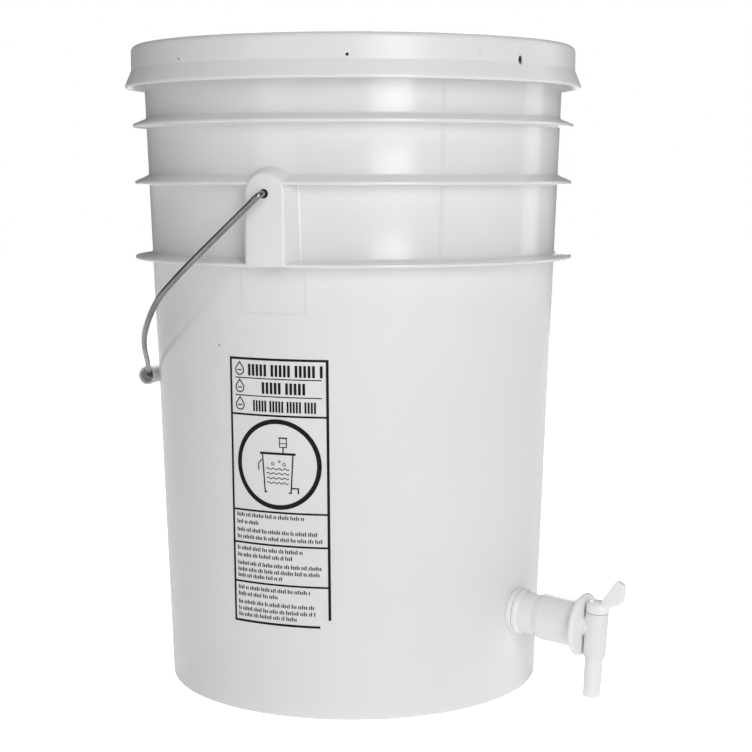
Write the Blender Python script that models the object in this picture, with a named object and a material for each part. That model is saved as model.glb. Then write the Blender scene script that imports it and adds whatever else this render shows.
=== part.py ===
"""Plastic fermenting bucket: tapered pail, snap lid, wire bail with grip, and a bottling tap.

Frame: origin on the pail axis at the floor, +Z up, the two ears on -X and +X (the bail hinge
is the X direction), the tap near the front (-Y). Lengths below are millimetres.
"""
import math

import bmesh
import bpy
from mathutils import Matrix, Vector

MM = 0.001

# ---- driving dimensions (mm, degrees) -------------------------------------------------
ROUND = 64                 # facets round the pail, lid and gasket
GAP = 0.3                  # working gap between pieces that touch

WALL_R0 = 131.47           # outer wall radius at the floor
WALL_SLOPE = 0.0365        # growth of the radius per unit of height
WALL_T = 2.0               # wall thickness
RIM_Z = 441.5              # top edge of the pail
FLOOR_Z = 5.0              # inside floor height
FOOT_R = 118.0             # inner radius of the foot ring
HUB_R = 12.0               # centre pad that also rests on the floor
FOOT_RIBS = 8

# each hoop rib: tip radius, tip height, height of the cone above the tip
HOOPS = ((154.6, 301.3, 3.0), (154.2, 353.2, 5.3), (155.2, 392.5, 4.8))
HOOP_TIP = 1.0             # half thickness of a hoop tip

EAR_Z = 346.8              # bail hinge height
EAR_FACE_X = 155.2
EAR_FACE_HALF = 13.2
EAR_ROOT_HALF = 18.8
EAR_ROOT_TOP = 17.2        # arch height above the hinge at the wall
EAR_WALL = 2.4
EAR_HOLE_R = 3.0
EAR_BOTTOM_Z = 301.3

LID_TOP_Z = 447.0
LID_PANEL_Z = 434.2        # top of the sunk centre panel
LID_T = 2.2
LIP_R = 160.1
SKIRT_R = 155.9
SKIRT_IN_R = 153.9
PLUG_RING_R = 143.7        # outside of the ring that sits inside the pail mouth
SKIRT_HOLES = 8            # evenly spaced; the last one is a tall slot, the others pinholes
SKIRT_HOLE_R = 1.0
SKIRT_HOLE_Z = 432.7
SKIRT_HOLE_AZ = 20.0       # first hole, measured from the front towards +X
SLOT_HALF_W = 1.9
SLOT_HALF_H = 3.0
SLOT_Z = 432.0
SLOT_LIP = 0.9             # skirt left round the slot, thinned from inside

GROMMET_Y = -86.3
GROMMET_HOLE_R = 6.5
GROMMET_BORE_R = 4.75

WIRE_R = 1.95
BAIL_DROOP = 42.5          # rest angle of the bail below horizontal, at the back
BAIL_REACH = 198.0         # hinge axis to grip axis
# right half of the bail centreline: (distance along the hinge axis, reach)
BAIL_ARM = ((160.9, 10.0), (162.2, 40.0), (162.7, 70.0), (161.2, 86.0), (157.9, 98.8),
            (149.6, 112.0), (137.0, 126.6), (121.5, 141.3), (104.0, 154.6), (86.0, 166.5),
            (66.0, 179.0))
GRIP_HALF = 42.0
GRIP_R = 6.3
GRIP_END_R = 6.8
GRIP_BORE_R = 2.3
GRIP_MOUTH_R = 5.2
GRIP_MOUTH_DEPTH = 8.0

TAP_AZ = -11.3             # from the front (-Y) towards +X
TAP_Z = 59.5               # where the tap axis leaves the wall
TAP_DROOP = 3.5            # outward axis points this far below horizontal
TAP_ROUND = 32
STEM_R = 12.0
STEM_IN = 17.0             # stem length inside the wall face
WALL_HOLE_R = 12.7
COLLAR_R = 15.6
WASHER_R = 15.9
NECK_R = 14.1
BARREL_R = 16.1
DISC_R = 21.5
DISC_FROM = 48.6
DISC_TO = 52.2
PLUG_AT = 60.3             # wall face to plug axis
SLEEVE_R = 7.8
SLEEVE_LOW_R = 7.5
SLEEVE_TOP = 10.2
SLEEVE_BOTTOM = -20.0
SOCKET_R = 6.5
NOZZLE_BORE_R = 4.4
NOZZLE_TIP = -48.0
DOME_TOP = 18.0
PADDLE_T = 4.0
# paddle outline: (distance outward from the plug axis, height above the tap axis)
PADDLE = ((1.0, 12.5), (1.0, 16.0), (2.6, 18.2), (12.6, 34.4), (14.2, 34.6), (18.5, 32.6),
          (18.4, 21.4), (15.8, 18.4), (8.0, 14.6), (5.0, 12.5))


# ---- materials --------------------------------------------------------------------------
COLOURS = {
    "pail_plastic": ((0.71, 0.72, 0.70), 0.38, 0.0),
    "lid_plastic": ((0.68, 0.70, 0.70), 0.42, 0.0),
    "gasket_rubber": ((0.55, 0.55, 0.53), 0.75, 0.0),
    "grommet_rubber": ((0.12, 0.12, 0.12), 0.70, 0.0),
    "zinc_wire": ((0.58, 0.59, 0.60), 0.28, 1.0),
    "grip_plastic": ((0.78, 0.78, 0.76), 0.40, 0.0),
    "tap_plastic": ((0.75, 0.76, 0.74), 0.36, 0.0),
    "tap_plug_plastic": ((0.77, 0.78, 0.76), 0.34, 0.0),
    "washer_rubber": ((0.70, 0.71, 0.69), 0.65, 0.0),
    "inner_washer_rubber": ((0.60, 0.60, 0.56), 0.68, 0.0),
    "nut_plastic": ((0.74, 0.74, 0.71), 0.45, 0.0),
}


def material(name):
    colour, roughness, metallic = COLOURS[name]
    made = bpy.data.materials.new(name)
    made.use_nodes = True
    shader = made.node_tree.nodes["Principled BSDF"]
    shader.inputs["Base Color"].default_value = (*colour, 1.0)
    shader.inputs["Roughness"].default_value = roughness
    shader.inputs["Metallic"].default_value = metallic
    made.diffuse_color = (*colour, 1.0)
    return made


# ---- mesh helpers -----------------------------------------------------------------------
def object_from(name, points, faces):
    """Closed mesh object from points in millimetres, normals made to face out."""
    mesh = bpy.data.meshes.new(name)
    mesh.from_pydata([tuple(c * MM for c in p) for p in points], [], faces)
    work = bmesh.new()
    work.from_mesh(mesh)
    bmesh.ops.recalc_face_normals(work, faces=work.faces)
    work.to_mesh(mesh)
    work.free()
    made = bpy.data.objects.new(name, mesh)
    bpy.context.scene.collection.objects.link(made)
    return made


def revolve(name, outline, count, frame=None):
    """Turn an outline of (radius, height) round +Z; a radius of 0 is a point on the axis."""
    points = []
    rows = []
    for radius, height in outline:
        if radius == 0:
            rows.append([len(points)] * count)
            points.append((0.0, 0.0, height))
            continue
        rows.append(list(range(len(points), len(points) + count)))
        for k in range(count):
            turn = 2 * math.pi * k / count
            points.append((radius * math.cos(turn), radius * math.sin(turn), height))
    faces = []
    for low, high in zip(rows, rows[1:] + rows[:1]):
        if low[0] == low[1] and high[0] == high[1]:
            continue
        for k in range(count):
            n = (k + 1) % count
            corners = [low[k], low[n], high[n], high[k]]
            faces.append(list(dict.fromkeys(corners)))
    if frame is not None:
        points = [tuple(frame @ Vector(p)) for p in points]
    return object_from(name, points, faces)


def prism(name, outline, low, high, frame=None):
    """Straight block: a flat outline of (x, y) carried from height low to high."""
    count = len(outline)
    points = [(x, y, low) for x, y in outline] + [(x, y, high) for x, y in outline]
    faces = [list(range(count))[::-1], list(range(count, 2 * count))]
    for k in range(count):
        n = (k + 1) % count
        faces.append([k, n, n + count, k + count])
    if frame is not None:
        points = [tuple(frame @ Vector(p)) for p in points]
    return object_from(name, points, faces)


def ellipse(half_x, half_y, count):
    turns = [2 * math.pi * k / count for k in range(count)]
    return [(half_x * math.cos(turn), half_y * math.sin(turn)) for turn in turns]


def rod(name, radius, low, high, count, frame=None):
    return revolve(name, ((0, low), (radius, low), (radius, high), (0, high)), count, frame)


def combine(target, tool, operation):
    """Apply an exact boolean to the target and drop the tool."""
    step = target.modifiers.new("cut", "BOOLEAN")
    step.operation = operation
    step.solver = "EXACT"
    step.object = tool
    bpy.context.view_layer.update()
    graph = bpy.context.evaluated_depsgraph_get()
    result = bpy.data.meshes.new_from_object(target.evaluated_get(graph))
    target.modifiers.clear()
    target.data = result
    bpy.data.objects.remove(tool)


def finish(part, material_name, pivot=(0, 0, 0), smooth_angle=32):
    """Move the origin to the pivot (mm), give the piece its material and smooth shading."""
    origin = Vector(pivot) * MM
    work = bmesh.new()
    work.from_mesh(part.data)
    bmesh.ops.remove_doubles(work, verts=work.verts, dist=0.000002)
    bmesh.ops.dissolve_degenerate(work, edges=work.edges, dist=0.000002)
    bmesh.ops.translate(work, verts=work.verts, vec=-origin)
    bmesh.ops.recalc_face_normals(work, faces=work.faces)
    work.to_mesh(part.data)
    work.free()
    part.location = origin
    part.data.materials.clear()
    part.data.materials.append(material(material_name))
    part.data.shade_smooth()
    part.data.set_sharp_from_angle(angle=math.radians(smooth_angle))
    return part


# ---- shared geometry --------------------------------------------------------------------
def wall_r(height):
    return WALL_R0 + WALL_SLOPE * height


def axes_frame(origin, x_axis, z_axis):
    """Frame with the given X and Z directions (millimetres)."""
    z_axis = z_axis.normalized()
    x_axis = x_axis.normalized()
    y_axis = z_axis.cross(x_axis)
    frame = Matrix((x_axis, y_axis, z_axis)).transposed().to_4x4()
    frame.translation = origin
    return frame


def tap_frames():
    """Frame along the tap barrel (+Z out of the wall, +X up) and frame of the upright plug."""
    azimuth = math.radians(TAP_AZ)
    droop = math.radians(TAP_DROOP)
    level = Vector((math.sin(azimuth), -math.cos(azimuth), 0.0))
    up = Vector((0.0, 0.0, 1.0))
    outward = level * math.cos(droop) - up * math.sin(droop)
    rising = level * math.sin(droop) + up * math.cos(droop)
    start = level * wall_r(TAP_Z) + up * TAP_Z
    barrel = axes_frame(start, rising, outward)
    plug = axes_frame(start + outward * PLUG_AT, outward, rising)
    return barrel, plug


# ---- pail -------------------------------------------------------------------------------
def pail_outline():
    outline = [(0, 0), (HUB_R, 0), (HUB_R + 1, 3), (FOOT_R - 1, 3), (FOOT_R, 0)]
    outline += [(129.6, 0), (131.0, 0.7), (131.55, 2.2)]
    for tip_r, tip_z, rise in HOOPS:
        under = tip_z - HOOP_TIP
        outline.append((wall_r(under), under - 0.3))
        outline.append((tip_r - 0.5, under))
        outline.append((tip_r, tip_z - 0.4))
        outline.append((tip_r, tip_z + 0.4))
        outline.append((tip_r - 0.7, tip_z + HOOP_TIP))
        outline.append((wall_r(tip_z + rise) + 0.1, tip_z + rise))
    outline += [(wall_r(425), 425.0), (152.8, 428.0), (153.3, 429.0), (152.8, 430.0)]
    outline += [(149.2, 432.5), (148.9, 440.6), (148.2, RIM_Z), (0, RIM_Z)]
    return outline


def ear_outline(half, top, bottom):
    """Arch seen along the hinge: (sideways, height) with the arch centred on the hinge."""
    steps = 10
    arch = []
    for k in range(steps + 1):
        turn = math.pi * k / steps
        arch.append((half * math.cos(turn), EAR_Z + top * math.sin(turn)))
    return arch + [(-half, bottom), (half, bottom)]


def ear_block(side):
    """Drafted boss from inside the wall out to its flat face."""
    root_x = wall_r(EAR_Z) - 0.6
    deep_x = 120.0
    spread = (root_x - deep_x) / (EAR_FACE_X - root_x)
    deep_half = EAR_ROOT_HALF + (EAR_ROOT_HALF - EAR_FACE_HALF) * spread
    deep_top = EAR_ROOT_TOP + (EAR_ROOT_TOP - EAR_FACE_HALF) * spread
    near = ear_outline(deep_half, deep_top, EAR_BOTTOM_Z)
    far = ear_outline(EAR_FACE_HALF, EAR_FACE_HALF, EAR_BOTTOM_Z)
    count = len(near)
    points = [(side * deep_x, y, z) for y, z in near]
    points += [(side * EAR_FACE_X, y, z) for y, z in far]
    faces = [list(range(count)), list(range(count, 2 * count))[::-1]]
    for k in range(count):
        n = (k + 1) % count
        faces.append([k, n, n + count, k + count])
    return object_from("ear_block", points, faces)


def ear_pocket(side):
    """Hollow of the ear, open below, kept just clear of the pail wall."""
    half = EAR_FACE_HALF - EAR_WALL + 0.2
    outline = ear_outline(half, half, EAR_BOTTOM_Z - 6)
    count = len(outline)
    points = [(side * 130.0, y, z) for y, z in outline]
    points += [(side * (EAR_FACE_X - EAR_WALL), y, z) for y, z in outline]
    faces = [list(range(count)), list(range(count, 2 * count))[::-1]]
    for k in range(count):
        n = (k + 1) % count
        faces.append([k, n, n + count, k + count])
    pocket = object_from("ear_pocket", points, faces)
    low, high = EAR_BOTTOM_Z - 20, EAR_Z + 40
    keep = ((0, low), (wall_r(low) + 0.25, low), (wall_r(high) + 0.25, high), (0, high))
    combine(pocket, revolve("wall_keep", keep, ROUND), "DIFFERENCE")
    return pocket


def pail_inside():
    inner = wall_r(0) - WALL_T
    top = RIM_Z + 8
    outline = ((0, FLOOR_Z), (125.5, FLOOR_Z), (128.6, 6.3), (inner + WALL_SLOPE * 9.5, 9.5),
               (inner + WALL_SLOPE * top, top), (0, top))
    return revolve("pail_inside", outline, ROUND)


def build_pail():
    pail = revolve("bucket_body", pail_outline(), ROUND)
    for side in (-1, 1):
        combine(pail, ear_block(side), "UNION")
    for side in (-1, 1):
        combine(pail, ear_pocket(side), "DIFFERENCE")
    combine(pail, pail_inside(), "DIFFERENCE")
    across = axes_frame(Vector((0, 0, EAR_Z)), Vector((0, 0, 1)), Vector((1, 0, 0)))
    for side in (-1, 1):
        low, high = sorted((side * (EAR_FACE_X - EAR_WALL - 2), side * (EAR_FACE_X + 2)))
        combine(pail, rod("ear_hole", EAR_HOLE_R, low, high, 16, across), "DIFFERENCE")
    barrel, _ = tap_frames()
    combine(pail, rod("wall_hole", WALL_HOLE_R, -12, 8, TAP_ROUND, barrel), "DIFFERENCE")
    for k in range(FOOT_RIBS):
        turn = 2 * math.pi * (k + 0.5) / FOOT_RIBS
        spin = Matrix.Rotation(turn, 4, "Z")
        bar = ((HUB_R - 2, -1.2), (FOOT_R + 2, -1.2), (FOOT_R + 2, 1.2), (HUB_R - 2, 1.2))
        combine(pail, prism("foot_rib", bar, 0.6, 3.6, spin), "UNION")
    return finish(pail, "pail_plastic")


# ---- lid --------------------------------------------------------------------------------
def build_lid():
    panel = LID_PANEL_Z
    under = panel - LID_T
    outline = [(0, panel), (118.0, panel), (119.5, panel + 1.5), (123.5, panel + 1.5),
               (125.0, panel), (140.2, panel), (141.4, panel + 1.2), (141.6, LID_TOP_Z - 1),
               (142.6, LID_TOP_Z), (152.6, LID_TOP_Z), (154.9, LID_TOP_Z - 1.0),
               (SKIRT_R, LID_TOP_Z - 3.4), (SKIRT_R, 430.2), (LIP_R - 0.2, 420.6),
               (LIP_R, 419.4), (LIP_R - 0.6, 418.3), (157.9, 418.3), (SKIRT_IN_R, 430.0),
               (SKIRT_IN_R, LID_TOP_Z - LID_T), (PLUG_RING_R, LID_TOP_Z - LID_T),
               (PLUG_RING_R, under + 0.6), (PLUG_RING_R - 0.7, under), (0, under)]
    lid = revolve("lid", outline, ROUND)
    for k in range(SKIRT_HOLES):
        azimuth = math.radians(SKIRT_HOLE_AZ + 360 / SKIRT_HOLES * k)
        outward = Vector((math.sin(azimuth), -math.cos(azimuth), 0))
        slot = k == SKIRT_HOLES - 1
        height = SLOT_Z if slot else SKIRT_HOLE_Z
        half_h = SLOT_HALF_H if slot else SKIRT_HOLE_R
        half_w = SLOT_HALF_W if slot else SKIRT_HOLE_R
        frame = axes_frame(Vector((0, 0, height)), Vector((0, 0, 1)), outward)
        combine(lid, prism("skirt_hole", ellipse(half_h, half_w, 12), 150, 160, frame),
                "DIFFERENCE")
        if slot:
            relief = ellipse(half_h + 1.5, half_w + 1.8, 12)
            combine(lid, prism("slot_relief", relief, 150, SKIRT_R - SLOT_LIP, frame),
                    "DIFFERENCE")
    spot = Matrix.Translation((0, GROMMET_Y, 0))
    combine(lid, rod("grommet_hole", GROMMET_HOLE_R, 425, 440, 24, spot), "DIFFERENCE")
    return finish(lid, "lid_plastic", (0, 0, LID_PANEL_Z))


def build_gasket():
    low = RIM_Z + GAP + 0.05
    high = LID_TOP_Z - LID_T - GAP - 0.05
    outline = ((144.6, low), (151.4, low), (151.9, low + 0.5), (151.9, high - 0.5),
               (151.4, high), (144.6, high), (144.1, high - 0.5), (144.1, low + 0.5))
    return finish(revolve("lid_gasket", outline, ROUND), "gasket_rubber", (0, 0, LID_PANEL_Z))


def build_grommet():
    panel = LID_PANEL_Z
    under = panel - LID_T
    outline = ((GROMMET_BORE_R, under - 1.9), (8.5, under - 1.9), (9.0, under - 1.4),
               (9.0, under - GAP), (6.2, under - GAP), (6.2, panel + GAP), (9.0, panel + GAP),
               (9.0, panel + 1.5), (8.4, panel + 2.1), (GROMMET_BORE_R, panel + 2.1))
    spot = Matrix.Translation((0, GROMMET_Y, 0))
    grommet = revolve("lid_grommet", outline, 24, spot)
    return finish(grommet, "grommet_rubber", (0, GROMMET_Y, panel))


# ---- bail -------------------------------------------------------------------------------
def smooth_through(knots, steps):
    """Points of a smooth curve that passes through the knots."""
    ends = [2 * knots[0] - knots[1]] + list(knots) + [2 * knots[-1] - knots[-2]]
    points = []
    for a, b, c, d in zip(ends, ends[1:], ends[2:], ends[3:]):
        for k in range(steps):
            t = k / steps
            points.append(0.5 * (2 * b + (c - a) * t + (2 * a - 5 * b + 4 * c - d) * t * t
                                 + (3 * b - a - 3 * c + d) * t * t * t))
    points.append(knots[-1])
    return points


def arc(centre, radius, first, last, steps):
    """Points on an arc in the bail plane, angles in degrees from the hinge direction."""
    points = []
    for k in range(steps + 1):
        turn = math.radians(first + (last - first) * k / steps)
        points.append(centre + radius * Vector((math.cos(turn), math.sin(turn))))
    return points


def bail_half():
    """Centreline of the right half in the bail plane, from the hooked end to the grip."""
    hook = [Vector((148.9, 7.0))] + arc(Vector((151.9, 3.0)), 3.0, 180, 270, 3)
    elbow = arc(Vector((156.7, 4.5)), 4.5, -90, 0, 4)
    arm = smooth_through([Vector(p) for p in BAIL_ARM], 2)
    bend = 18.0
    lean = 36.0
    into_grip = arc(Vector((GRIP_HALF - 9, BAIL_REACH - bend)), bend, 90 - lean, 90, 4)
    return hook + elbow + arm + into_grip


def bail_plane():
    """Hinge direction, reach direction and plane normal with the bail at rest."""
    droop = math.radians(BAIL_DROOP)
    along = Vector((1, 0, 0))
    reach = Vector((0, math.cos(droop), -math.sin(droop)))
    return along, reach, along.cross(reach)


def build_bail():
    half = bail_half()
    flat = half + [Vector((-p.x, p.y)) for p in reversed(half)]
    along, reach, normal = bail_plane()
    hinge = Vector((0, 0, EAR_Z))
    sides = 10
    points = []
    for k, p in enumerate(flat):
        before = flat[max(k - 1, 0)]
        after = flat[min(k + 1, len(flat) - 1)]
        heading = (after - before).normalized()
        across = along * -heading.y + reach * heading.x
        centre = hinge + along * p.x + reach * p.y
        for s in range(sides):
            turn = 2 * math.pi * s / sides
            rim = across * math.cos(turn) + normal * math.sin(turn)
            points.append(tuple(centre + rim * WIRE_R))
    faces = [list(range(sides)), list(range(len(points) - sides, len(points)))]
    for k in range(len(flat) - 1):
        for s in range(sides):
            n = (s + 1) % sides
            low = k * sides
            faces.append([low + s, low + n, low + sides + n, low + sides + s])
    return finish(object_from("bail_wire", points, faces), "zinc_wire", (0, 0, EAR_Z))


def build_grip():
    end = GRIP_HALF
    mouth = GRIP_HALF - GRIP_MOUTH_DEPTH
    half = [(GRIP_BORE_R, mouth - 1.5), (GRIP_MOUTH_R, mouth + 0.5), (GRIP_MOUTH_R, end),
            (GRIP_END_R - 0.5, end), (GRIP_END_R, end - 0.6), (GRIP_END_R, end - 2.4),
            (GRIP_R, end - 4.0)]
    outline = half + [(r, -z) for r, z in reversed(half)]
    along, reach, normal = bail_plane()
    centre = Vector((0, 0, EAR_Z)) + reach * BAIL_REACH
    grip = revolve("bail_grip", outline, 24, axes_frame(centre, reach, along))
    return finish(grip, "grip_plastic", tuple(centre))


# ---- tap --------------------------------------------------------------------------------
def build_tap_body():
    barrel, plug = tap_frames()
    outside = [(0, -STEM_IN), (STEM_R - 0.9, -STEM_IN), (STEM_R, -STEM_IN + 0.9),
               (STEM_R, 3.2), (COLLAR_R, 3.2), (COLLAR_R, 4.4), (COLLAR_R - 0.5, 5.4),
               (NECK_R + 0.6, 6.6), (NECK_R, 7.4), (NECK_R, 17.8), (BARREL_R - 0.2, 22.3),
               (BARREL_R, 23.2), (BARREL_R, DISC_FROM), (DISC_R - 0.9, DISC_FROM),
               (DISC_R, DISC_FROM + 1), (DISC_R, DISC_TO - 1.2), (DISC_R - 1, DISC_TO),
               (7.0, DISC_TO), (7.0, PLUG_AT - 1), (0, PLUG_AT - 1)]
    body = revolve("spigot_body", outside, TAP_ROUND, barrel)
    sleeve = ((0, SLEEVE_BOTTOM), (SLEEVE_LOW_R - 0.4, SLEEVE_BOTTOM),
              (SLEEVE_LOW_R, SLEEVE_BOTTOM + 0.4), (SLEEVE_R, SLEEVE_TOP), (0, SLEEVE_TOP))
    combine(body, revolve("sleeve", sleeve, 28, plug), "UNION")
    inside = ((0, -STEM_IN - 3), (9.2, -STEM_IN - 3), (9.2, 20), (12.6, 24), (12.6, 41),
              (4.8, 46.5), (4.8, PLUG_AT), (0, PLUG_AT))
    combine(body, revolve("waterway", inside, TAP_ROUND, barrel), "DIFFERENCE")
    low, high = SLEEVE_BOTTOM - 4, SLEEVE_TOP + 4
    combine(body, rod("socket", SOCKET_R, low, high, 28, plug), "DIFFERENCE")
    return finish(body, "tap_plastic", tuple(barrel.translation))


def build_tap_plug():
    barrel, plug = tap_frames()
    rest = SLEEVE_TOP + GAP
    outline = [(0, 4.6), (3.4, 4.2), (NOZZLE_BORE_R, 3.0), (NOZZLE_BORE_R, NOZZLE_TIP),
               (5.5, NOZZLE_TIP), (5.8, NOZZLE_TIP + 0.4), (6.2, SLEEVE_BOTTOM - 0.8),
               (6.2, rest), (7.6, rest)]
    foot = rest + 0.3
    for k in range(6):
        turn = math.radians(15 * k)
        outline.append((SLEEVE_R * math.cos(turn), foot + (DOME_TOP - foot) * math.sin(turn)))
    outline.append((0, DOME_TOP))
    piece = revolve("spigot_plug", outline, 28, plug)
    flat = [(a, h) for a, h in PADDLE]
    upright = plug @ Matrix.Rotation(math.pi / 2, 4, "X")
    paddle = prism("paddle", flat, -PADDLE_T / 2, PADDLE_T / 2, upright)
    combine(piece, paddle, "UNION")
    port = axes_frame(plug.translation, Vector((0, 0, 1)), -(barrel.to_3x3() @ Vector((0, 0, 1))))
    combine(piece, rod("port", 3.8, 1.0, 9.0, 16, port), "DIFFERENCE")
    return finish(piece, "tap_plug_plastic", tuple(plug.translation))


def wall_depth(barrel, up, side, radius_at_floor):
    """Distance along the tap axis at which a line beside it meets a cone wall."""
    depth = 0.0
    for _ in range(12):
        p = barrel @ Vector((up, side, depth))
        short = radius_at_floor + WALL_SLOPE * p.z - math.hypot(p.x, p.y)
        depth += short
    return depth


def shaped_washer(name, inner_r, outer_r, flat_at, radius_at_floor):
    """Ring with one flat face square to the tap and one face that follows the wall."""
    barrel, _ = tap_frames()
    points = []
    corners = ((inner_r, True), (outer_r, True), (outer_r, False), (inner_r, False))
    for radius, on_wall in corners:
        for k in range(TAP_ROUND):
            turn = 2 * math.pi * k / TAP_ROUND
            up, side = radius * math.cos(turn), radius * math.sin(turn)
            depth = wall_depth(barrel, up, side, radius_at_floor) if on_wall else flat_at
            points.append(tuple(barrel @ Vector((up, side, depth))))
    faces = []
    for ring in range(4):
        low = ring * TAP_ROUND
        high = (ring + 1) % 4 * TAP_ROUND
        for k in range(TAP_ROUND):
            n = (k + 1) % TAP_ROUND
            faces.append([low + k, low + n, high + n, high + k])
    return object_from(name, points, faces), tuple(barrel.translation)


def build_outer_washer():
    face = WALL_R0 + GAP
    washer, pivot = shaped_washer("spigot_outer_washer", 12.4, WASHER_R, 2.9, face)
    return finish(washer, "washer_rubber", pivot)


def build_inner_washer():
    face = WALL_R0 - WALL_T - GAP - 0.2
    washer, pivot = shaped_washer("spigot_inner_washer", 12.4, 17.0, -5.4, face)
    return finish(washer, "inner_washer_rubber", pivot)


def build_nut():
    barrel, _ = tap_frames()
    far, near = -13.0, -5.7
    corners = []
    for k in range(6):
        turn = math.pi * (k + 0.5) / 3
        corners.append((19.4 * math.cos(turn), 19.4 * math.sin(turn)))
    nut = prism("spigot_nut", corners, far, near, barrel)
    shell = ((0, far), (17.2, far), (18.9, far + 1.6), (20.5, near), (0, near))
    combine(nut, revolve("nut_chamfer", shell, 36, barrel), "INTERSECT")
    combine(nut, rod("nut_bore", STEM_R + GAP, far - 3, near + 3, TAP_ROUND, barrel), "DIFFERENCE")
    return finish(nut, "nut_plastic", tuple(barrel.translation), 25)


def main():
    for old in list(bpy.data.objects):
        bpy.data.objects.remove(old)
    build_pail()
    build_lid()
    build_gasket()
    build_grommet()
    build_bail()
    build_grip()
    build_tap_body()
    build_tap_plug()
    build_outer_washer()
    build_inner_washer()
    build_nut()


main()
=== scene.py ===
"""Looks of the plastic fermenting bucket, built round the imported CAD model.

Lengths are millimetres unless a name ends in _M. The frame is the model's own: origin on the
pail axis at the floor, +Z up, ears on -X and +X, tap near the front (-Y), bail at the back.
Azimuths are degrees from the front (-Y) towards +X.
"""
import math

import bmesh
import bpy
from mathutils import Matrix, Vector


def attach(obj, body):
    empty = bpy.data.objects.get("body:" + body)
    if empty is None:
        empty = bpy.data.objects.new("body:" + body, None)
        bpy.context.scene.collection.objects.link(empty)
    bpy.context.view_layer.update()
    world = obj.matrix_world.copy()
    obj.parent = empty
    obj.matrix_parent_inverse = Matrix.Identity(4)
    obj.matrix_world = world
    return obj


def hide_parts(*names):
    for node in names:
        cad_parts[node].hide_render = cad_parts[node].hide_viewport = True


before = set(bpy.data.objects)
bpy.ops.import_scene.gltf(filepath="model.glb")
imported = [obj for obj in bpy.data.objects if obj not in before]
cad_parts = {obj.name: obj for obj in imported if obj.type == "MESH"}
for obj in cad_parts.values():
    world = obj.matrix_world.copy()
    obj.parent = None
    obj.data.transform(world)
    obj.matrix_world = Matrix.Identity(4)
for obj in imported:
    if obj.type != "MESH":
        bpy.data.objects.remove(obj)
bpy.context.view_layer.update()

MM = 0.001

# ---- camera -----------------------------------------------------------------------------
CAMERA_AT_M = (-1.1516, -0.4522, 0.3595)
CAMERA_YAW = -69.3
CAMERA_PITCH = -6.703
CAMERA_LENS = 82.55
CAMERA_SENSOR = 36.0

# ---- pail -------------------------------------------------------------------------------
ROUND = 256
WALL_R0 = 131.47
WALL_SLOPE = 0.0365
WALL_T = 2.0
RIM_Z = 441.5
FLOOR_Z = 5.0
FOOT_R = 118.0
HUB_R = 12.0
FOOT_RISE = 3.0            # hollow between the hub and the foot ring
FOOT_RIBS = 8
FOOT_RIB_HALF = 1.2
FOOT_RIB_Z = (0.6, 3.6)
HOOPS = ((154.6, 301.3, 3.0), (154.2, 353.2, 5.3), (155.2, 392.5, 4.8))   # radius, Z, rise
HOOP_TIP = 1.0
RIM_RING_R = 153.3         # ring below the rim, which the lid's skirt covers
RIM_RING_Z = (425.0, 428.2, 429.9, 432.5)
RIM_FOOT_R = 149.1
RIM_R = 148.9

EAR_Z = 346.8
EAR_FACE_X = 155.2
EAR_FACE_HALF = 13.2
EAR_ROOT_HALF = 18.8
EAR_ROOT_TOP = 17.2
EAR_ROOT_SINK = 0.6
EAR_INSIDE_X = 120.0       # the block starts inside the pail, which is hollowed afterwards
EAR_POCKET_X = 130.0
EAR_WALL = 2.4
EAR_HOLE_R = 3.0
EAR_BOTTOM_Z = 301.3
EAR_EDGE = 1.6
BEAD_R = 1.1
BEAD_FROM_Z = 303.2
BEAD_TO_Z = 353.0

# ---- lid --------------------------------------------------------------------------------
LID_TOP_Z = 447.0
LID_PANEL_Z = 434.2
LID_T = 2.2
LID_PANEL_R = 141.4
LID_RIM_IN_R = 141.7
STACK_RING_R = (118.0, 119.5, 123.5, 125.0)
STACK_RING_RISE = 1.5
LIP_R = 160.1
LIP_IN_R = 157.9
LIP_Z = (418.3, 420.2)
FLARE_Z = 430.2
FLARE_IN_Z = 430.0
SKIRT_R = 155.9
SKIRT_IN_R = 153.9
SKIRT_CUT_R = (150, 160)   # radii between which the skirt's holes are cut
PLUG_RING_R = 143.7
SKIRT_HOLES = 8            # the last one is a tall slot, the others pinholes
SKIRT_HOLE_R = 1.0
SKIRT_HOLE_Z = 432.7
SKIRT_HOLE_AZ = 20.0
SLOT_HALF_W = 1.9
SLOT_HALF_H = 3.0
SLOT_Z = 432.0
SLOT_LIP = 0.9             # skirt left round the slot, thinned from inside
SLOT_RELIEF_UP = 1.5
SLOT_RELIEF_SIDE = 1.8
GASKET_IN_R = 144.1
GASKET_OUT_R = 151.9
GASKET_GAP = 0.35
GROMMET_Y = -86.3
GROMMET_R = 9.0
GROMMET_WAIST_R = 6.2
GROMMET_HOLE_R = 6.5
GROMMET_BORE_R = 4.75
GROMMET_GAP = 0.3
GROMMET_DOWN = 1.9
GROMMET_UP = 2.1

# ---- bail -------------------------------------------------------------------------------
WIRE_R = 1.95
WIRE_END = (0.72, 0.93, 1.0)   # the last rings of a wire, rounded over
BAIL_DROOP = 42.5
BAIL_REACH = 198.0
HOOK_X = 148.9             # hooked end inside the ear
HOOK_BEND = 3.0
HOOK_Y = (7.0, 6.8, 6.5)
ELBOW_X = 156.7
ELBOW_BEND = 4.5
GRIP_BEND = 18.0
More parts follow.
